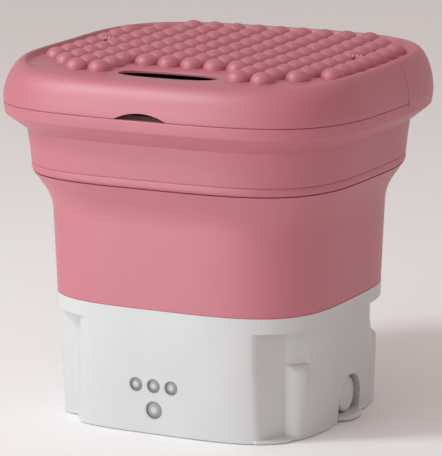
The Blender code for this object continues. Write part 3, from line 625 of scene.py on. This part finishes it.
def rear_moulding(mesh):
    """The band and the rear half of the top in one, with its bumps."""
    crease_z = SEAM_Z + CREASE_RISE
    outside = band_outside([level(0.1 * MM, SEAM_Z - 1.0 * MM)])
    outside += shoulder(SEAM_Z, 0.0)[1:] + panel_edge(crease_z)
    inside = [np.array(corner[:4]) for corner in reversed(band_inside())]
    inside += flat_shoulder(SHELL)
    part = bmesh.new()
    rows = list(reversed(outside)) + inside
    skin(part, [ring_points(row, DECK_SLOPE) for row in rows], caps=True)
    cut_at(part, DECK_Y, False)
    top = flat_faces(part)[0]
    holes = [dome(part, x, y, DECK_SLOPE) for x, y in bump_places(False)]
    pierce(part, top, holes)
    merge(mesh, part)


def rim_frame():
    mesh = bmesh.new()
    front_rim(mesh)
    rear_moulding(mesh)
    for side in (-1, 1):
        for part in (-1, 1):
            knuckle(mesh, side * HINGE_X + part * KNUCKLE_STEP, DECK_KNUCKLE, 1)
    add_piece("rim_moulding", mesh, "pink_plastic", "upper_frame", ("rim_frame",))


# ---- tiers below the lid ----
def tier(name, rows, slot, body, node_name):
    """One closed ring of the stack, from the rows of its profile."""
    mesh = bmesh.new()
    skin(mesh, [ring_points(row) for row in rows], closed=True)
    return add_piece(name, mesh, slot, body, (node_name,))


def upper_tier():
    """The collar below the rim and the bead round its foot."""
    low_half = np.array((BEAD_HIGH.x, BEAD_HIGH.y))
    high_half = np.array((COLLAR_HIGH.x, COLLAR_HIGH.y))
    low_z, high_z = COLLAR_LOW.z - 0.1 * MM, COLLAR_HIGH.z + 0.35 * MM
    middle = 0.5 * (low_half + high_half) - 0.2 * MM
    collar = [level(0.9 * MM, low_z, half=low_half), level(0.0, low_z, 0.0, 0.8 * MM, low_half),
              level(0.0, (low_z + high_z) / 2, 0.0, 5 * MM, middle), level(0.0, high_z, half=high_half),
              level(SHELL, high_z, half=high_half), level(SHELL, low_z, half=low_half)]
    tier("collar", soften(collar, 5), "pink_plastic", "upper_frame", "upper_collar")
    low_z, high_z = BEAD_LOW.z, COLLAR_LOW.z - 0.15 * MM
    bead = [level(3.4 * MM, low_z, half=low_half), level(1.6 * MM, low_z, 0.0, 0.6 * MM, low_half),
            level(0.0, low_z + 1.9 * MM, 0.0, 1.4 * MM, low_half),
            level(0.0, high_z, 0.0, 1.6 * MM, low_half),
            level(1.6 * MM, high_z, half=low_half), level(3.4 * MM, high_z, half=low_half)]
    tier("bead", soften(bead, 5), "pink_plastic", "upper_frame", "bead_ring")


def folding_wall():
    """The soft wall between base and bead, which flares above its knee, built only in its standing shape."""
    low, high = WALL_LOW.z, WALL_HIGH.z
    top = np.array((WALL_HIGH.x, WALL_HIGH.y))
    outer = [level(0.0, low, half=WALL_BOTTOM_HALF),
             level(0.0, low + WALL_KNEE_RISE, 0.0, WALL_KNEE_RADIUS, WALL_KNEE_HALF),
             level(0.0, high, half=top)]
    inner = [level(SOFT_WALL, corner[2], 0.0, corner[4], np.array(corner[:2])) for corner in reversed(outer)]
    wall = tier("soft_wall", soften(outer, 10) + soften(inner, 10), "soft_pink", "base", "folding_wall")
    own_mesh(wall)


# ---- base ----
def rib_arc(middle_x, middle_y, radius, angles):
    """Plan points, in millimetres, of the round rib at a notch's inner corner."""
    turns = [math.radians(angle) for angle in angles]
    return [(middle_x + radius * math.cos(turn), middle_y + radius * math.sin(turn)) for turn in turns]


RIGHT_RIB = rib_arc(93.5, 60.0, 12.5, range(90, -5, -5))
LEFT_RIB = rib_arc(92.5, 62.0, 13.5, range(55, 20, -5))


def polar(points):
    """Angle and radius tables of a line of points given in millimetres in the +x, +y quarter."""
    angle = np.array([math.atan2(y, x) for x, y in points])
    radius = np.array([math.hypot(x, y) for x, y in points]) * MM
    order = np.argsort(angle)
    return angle[order], radius[order]


def line_radius(points, angles):
    """Radius along each angle to a line of points, with straight pieces between them."""
    fine = []
    for (ax, ay), (bx, by) in zip(points, points[1:]):
        fine += [(ax + (bx - ax) * step / 24, ay + (by - ay) * step / 24) for step in range(24)]
    fine.append(points[-1])
    known, radius = polar(fine)
    return np.interp(angles, known, radius, left=FAR, right=FAR)


def smooth_min(a, b, width):
    """The smaller of two radii, with the corner between them rounded over a width."""
    mix = np.clip(0.5 + 0.5 * (b - a) / width, 0.0, 1.0)
    return b + (a - b) * mix - width * mix * (1.0 - mix)


def plain_radius(half, power, angles):
    """Radius of a rounded square along each angle."""
    side, front = np.abs(np.cos(angles)) / half[0], np.abs(np.sin(angles)) / half[1]
    return (side ** power + front ** power) ** (-1.0 / power)


def base_radius(z, angles):
    """Radius of the base's outline at a height, with its four corner notches."""
    part = (z - BASE_LOW.z) / (BASE_HIGH.z - BASE_LOW.z)
    power = BASE_POWER + (TIER_POWER - BASE_POWER) * ease((z - 60.0 * MM) / (BASE_HIGH.z - 60.0 * MM))
    plain = plain_radius(BASE_BOTTOM_HALF + (BASE_TOP_HALF - BASE_BOTTOM_HALF) * part, power, angles)
    folded = np.abs(np.arctan2(np.sin(angles), np.cos(angles)))
    folded = np.where(folded > math.pi / 2, math.pi - folded, folded)
    right = np.cos(angles) > 0.0
    ribbed = np.where(right, line_radius(list(RIGHT_NOTCH) + RIGHT_RIB[1:], folded),
                      line_radius(list(LEFT_NOTCH) + LEFT_RIB, folded))
    blended = np.where(right, line_radius(RIGHT_NOTCH[:3] + RIGHT_BLEND, folded), ribbed)
    ribbed = smooth_min(plain, ribbed, NOTCH_EDGE)
    blended = smooth_min(plain, blended, NOTCH_EDGE)
    rounded = math.sqrt(max(0.0, 1.0 - (max(0.0, z - RIB_TOP_Z + RIB_TOP_ROUND) / RIB_TOP_ROUND) ** 2))
    faded = 1.0 - ease((z - 36.0 * MM) / (34.0 * MM))
    beside = ease((folded - math.radians(28.5)) / math.radians(3.5))
    radius = blended + (ribbed - blended) * (faded + (rounded - faded) * beside)
    radius = radius + (plain - radius) * ease((z - NOTCH_TOP_Z + 0.8 * MM) / (1.2 * MM))
    lip = np.where(right, line_radius(LIP, folded), radius)
    lip = np.where(lip > NO_LIP, radius, np.minimum(np.maximum(lip, radius), plain + 1.0 * MM))
    return lip + (radius - lip) * ease((z - LIP_Z) / (1.2 * MM))


def base_solid(levels, shrink):
    """The base's outline lofted through levels; a cavity's is shrunk, also from the levels near it."""
    angles = np.arange(BASE_SIDES) * 2.0 * math.pi / BASE_SIDES
    mesh = bmesh.new()
    rings, steps = [], (-1.0, -0.5, 0.5, 1.0)
    for z in levels:
        radius = base_radius(z, angles)
        if shrink:
            near = [base_radius(max(z + step * shrink, LIP_Z * 2.0), angles) for step in steps]
            radius = np.min([radius, *near], axis=0) - shrink
        rings.append([Vector((r * math.cos(a), r * math.sin(a), z)) for r, a in zip(radius, angles)])
    skin(mesh, rings, caps=True)
    return mesh


def arch_outline(grow):
    """Outline in y and z of the drain's pocket, grown on every side."""
    radius = ARCH_HALF + grow
    centre_z = ARCH_TOP_Z - ARCH_HALF
    points = [(ARCH_Y - radius, -10.0 * MM), (ARCH_Y + radius, -10.0 * MM)]
    for index in range(41):
        angle = math.pi * index / 40
        points.append((ARCH_Y + radius * math.cos(angle), centre_z + radius * math.sin(angle)))
    return points


def button_places():
    """Label, middle, radius, face and back of each push button, from its CAD node."""
    places = []
    for label in ("button_1", "button_2", "button_3", "start_button"):
        low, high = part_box(f"{label}_cap")
        centre = (low + high) / 2.0
        places.append((label, centre.x, centre.z, (high.x - low.x) / 2.0, low.y, high.y))
    return places


def base_hollow():
    """The space inside the base, which stays clear of the drain's pocket."""
    levels = [BASE_LOW.z - 5.0 * MM] + [z * MM for z in INNER_LEVELS] + [BASE_HIGH.z + 5.0 * MM]
    cavity = loose_object("cavity", base_solid(levels, SHELL))
    cut_away(cavity, prism_along_x(arch_outline(SHELL), ARCH_BACK_X - SHELL, FAR))
    hollow = bmesh.new()
    hollow.from_mesh(cavity.data)
    bpy.data.objects.remove(cavity, do_unlink=True)
    return hollow


def base_openings():
    """The drain's pocket and the holes for the buttons and the power inlet, as one tool."""
    tool = prism_along_x(arch_outline(0.0), ARCH_BACK_X, FAR)
    for _, x, z, radius, face_y, _ in button_places():
        turned(disc(radius + 1.4 * MM, 12 * MM), (x, face_y + 2.0 * MM, z), TO_FRONT, 48, tool)
    inlet_low, inlet_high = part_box("power_inlet")
    middle = (inlet_low + inlet_high) / 2.0
    turned(disc(INLET_RADIUS, 9 * MM), (middle.x, BASE_TOP_HALF[1] - 3.0 * MM, middle.z), TO_FRONT, 48, tool)
    return tool


def base_housing():
    bottom, top = BASE_LOW.z, BASE_HIGH.z
    levels = [bottom, bottom + 0.5 * MM, LIP_Z, LIP_Z + 0.4 * MM, LIP_Z + 0.8 * MM, LIP_Z + 1.2 * MM]
    levels += [z * MM for z in OUTER_LEVELS] + [top - 0.5 * MM, top]
    base = loose_object("base_shell", base_solid(levels, 0.0))
    cut_away(base, base_hollow())
    cut_away(base, base_openings())
    dress(base, "white_plastic", "base", ("base_housing",))


def drain_sill():
    """The drip lip under the arch, a rounded half disc."""
    mesh = bmesh.new()
    rows = []
    for inset, height in SILL_STEPS:
        reach, half = SILL_REACH - inset * MM, SILL_HALF - inset * MM
        row = []
        for index in range(49):
            angle = -math.pi / 2 + math.pi * index / 48
            across = math.copysign(abs(math.sin(angle)) ** SILL_ROUND, math.sin(angle))
            row.append(Vector((ARCH_BACK_X + 0.3 * MM + reach * abs(math.cos(angle)) ** SILL_ROUND,
                               ARCH_Y + SILL_SHIFT_Y + half * across, BASE_LOW.z + height * MM)))
        rows.append(row)
    skin(mesh, rows, caps=True)
    add_piece("drain_sill", mesh, "white_plastic", "base")


# ---- buttons and drain cap ----
def buttons():
    """A key and a bezel ring for each of the four push buttons."""
    for label, x, z, radius, face_y, back_y in button_places():
        depth = back_y - face_y
        cap = [(0.0, 0.0), (radius - 0.8 * MM, 0.0), (radius, 0.6 * MM), (radius, depth - 1.4 * MM),
               (radius - 0.15 * MM, depth - 1.15 * MM), (radius - 0.5 * MM, depth - 1.0 * MM),
               (0.0, depth - 0.85 * MM)]
        add_piece(f"{label}_key", turned(cap, (x, back_y, z), TO_FRONT), "grey_plastic", label,
                  (f"{label}_cap",), BUTTON_FINISH)
        low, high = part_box(f"{label}_ring")
        inner, outer = radius + 0.2 * MM, radius + 1.2 * MM
        deep, edge = high.y - low.y, 0.3 * MM
        ring = [(outer, 0.0), (outer, deep - edge), (outer - edge, deep), (inner, deep), (inner, 0.0)]
        add_piece(f"{label}_bezel", turned(ring, (x, high.y, z), TO_FRONT), "grey_plastic", "base",
                  (f"{label}_ring",))


def button_finish():
    """Grey key with a lighter, softly broken round patch in its middle, in place of any printed sign."""
    made = plastic("button_face", (0.26, 0.26, 0.26), 0.42, 0.25)
    tree = made.node_tree
    place = tree.nodes["Texture Coordinate"]
    shift = node(tree, "ShaderNodeMapping")
    shift.inputs["Location"].default_value = (-0.5, 0.0, -0.5)
    shift.inputs["Scale"].default_value = (1.0, 0.0, 1.0)
    tree.links.new(place.outputs["Generated"], shift.inputs["Vector"])
    reach = node(tree, "ShaderNodeVectorMath", operation="LENGTH")
    tree.links.new(shift.outputs["Vector"], reach.inputs[0])
    patch = tree.nodes.new("ShaderNodeValToRGB")
    for stop, position, value in zip(patch.color_ramp.elements, (0.20, 0.27), (1.0, 0.0)):
        stop.position = position
        stop.color = (value, value, value, 1.0)
    tree.links.new(reach.outputs["Value"], patch.inputs["Fac"])
    mix = node(tree, "ShaderNodeMix", data_type="RGBA")
    shader = tree.nodes["Principled BSDF"]
    source = shader.inputs["Base Color"].links[0].from_socket
    tree.links.new(patch.outputs["Color"], mix.inputs["Factor"])
    tree.links.new(source, mix.inputs[6])
    mix.inputs[7].default_value = (0.50, 0.50, 0.50, 1.0)
    tree.links.new(mix.outputs[2], shader.inputs["Base Color"])
    return made


BUTTON_FINISH = button_finish()


def drain_cap():
    """The pull-out cap: a dished face, a rounded rim and a stepped bore over the outlet."""
    low, high = CAP_LOW.x, CAP_HIGH.x
    wide = (CAP_HIGH.z - CAP_LOW.z) / 2.0
    face = [(0.0, high - 0.8 * MM), (wide - 3.0 * MM, high - 0.8 * MM), (wide - 2.4 * MM, high)]
    rim = [(wide - 1.5 * MM, high), (wide - 0.5 * MM, high - 0.5 * MM), (wide, high - 1.5 * MM), (wide, low)]
    bore = [(8.2 * MM, low), (8.2 * MM, low + 10.0 * MM), (5.5 * MM, low + 10.0 * MM),
            (5.5 * MM, low + 2.0 * MM), (0.0, low + 2.0 * MM)]
    cap = turned(face + rim + bore, (0.0, ARCH_Y, DRAIN_Z), TO_X)
    add_piece("drain_plug_cap", cap, "white_plastic", "drain_plug", ("drain_cap",))


def dress_nodes():
    """Give every carried-over CAD node the detailed finish of its material slot."""
    for item in bpy.data.objects:
        if item.type != "MESH" or "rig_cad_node" not in item:
            continue
        for place in item.material_slots:
            if place.material is None:
                continue
            for slot, finish in FINISHES.items():
                if place.material.name.split(".")[0].endswith(slot):
                    place.material = finish
                    break


# ---- floor, lights and camera ----
def floor():
    mesh = bmesh.new()
    bmesh.ops.create_grid(mesh, x_segments=1, y_segments=1, size=6.0)
    data = bpy.data.meshes.new("floor")
    mesh.to_mesh(data)
    mesh.free()
    ground = link_new("floor", data)
    ground.location = (0.0, 0.0, -0.2 * MM)
    data.materials.append(plastic("pale_floor", (0.93, 0.93, 0.93), 0.85, 0.0, mottle=0.005))


def soft_box(name, azimuth, elevation, distance, size, radiance):
    """A square soft light seen from the object's middle at these angles; azimuth 0 is +X."""
    turn, lift = math.radians(azimuth), math.radians(elevation)
    heading = Vector((math.cos(turn) * math.cos(lift), math.sin(turn) * math.cos(lift), math.sin(lift)))
    lamp = bpy.data.lights.new(name, "AREA")
    lamp.shape = "RECTANGLE"
    lamp.size = lamp.size_y = size
    lamp.energy = radiance * math.pi * size * size
    lamp.color = SOFT_BOX_COLOUR
    item = link_new(name, lamp)
    item.location = LIGHT_AIM + heading * distance
    item.rotation_euler = (-heading).to_track_quat("-Z", "Y").to_euler()


def lights():
    world = bpy.data.worlds.new("studio")
    bpy.context.scene.world = world
    world.use_nodes = True
    world.node_tree.nodes["Background"].inputs["Color"].default_value = WORLD_COLOUR
    world.node_tree.nodes["Background"].inputs["Strength"].default_value = WORLD_STRENGTH
    soft_box("key", -136.0, 47.0, 1.9, 0.32, KEY_RADIANCE)
    soft_box("haze", -117.0, 4.0, 1.8, 1.2, HAZE_RADIANCE)
    sun = bpy.data.lights.new("overhead", "SUN")
    sun.energy = SUN_STRENGTH
    sun.angle = math.radians(60.0)
    link_new("overhead", sun).rotation_euler = Vector((0.16, 0.30, -0.94)).to_track_quat("-Z", "Y").to_euler()


def camera():
    azimuth, elevation = math.radians(CAMERA_AZIMUTH), math.radians(CAMERA_ELEVATION)
    back = Vector((math.sin(azimuth) * math.cos(elevation), -math.cos(azimuth) * math.cos(elevation),
                   math.sin(elevation)))
    turn = (-back).to_track_quat("-Z", "Y")
    right, up = turn @ Vector((1.0, 0.0, 0.0)), turn @ Vector((0.0, 1.0, 0.0))
    data = bpy.data.cameras.new("camera")
    data.sensor_width = SENSOR
    data.lens = SENSOR * FOCAL_SHARE
    data.clip_end = 50.0
    item = link_new("camera", data)
    item.location = (Vector((0.0, 0.0, CAMERA_AIM_Z)) + back * CAMERA_DISTANCE + right * CAMERA_SIDE
                     + up * CAMERA_LIFT)
    item.rotation_euler = turn.to_euler()
    bpy.context.scene.camera = item


bpy.context.scene.view_settings.view_transform = "Standard"
lid_flap()
rim_frame()
upper_tier()
folding_wall()
base_housing()
drain_sill()
buttons()
drain_cap()
dress_nodes()
floor()
lights()
camera()
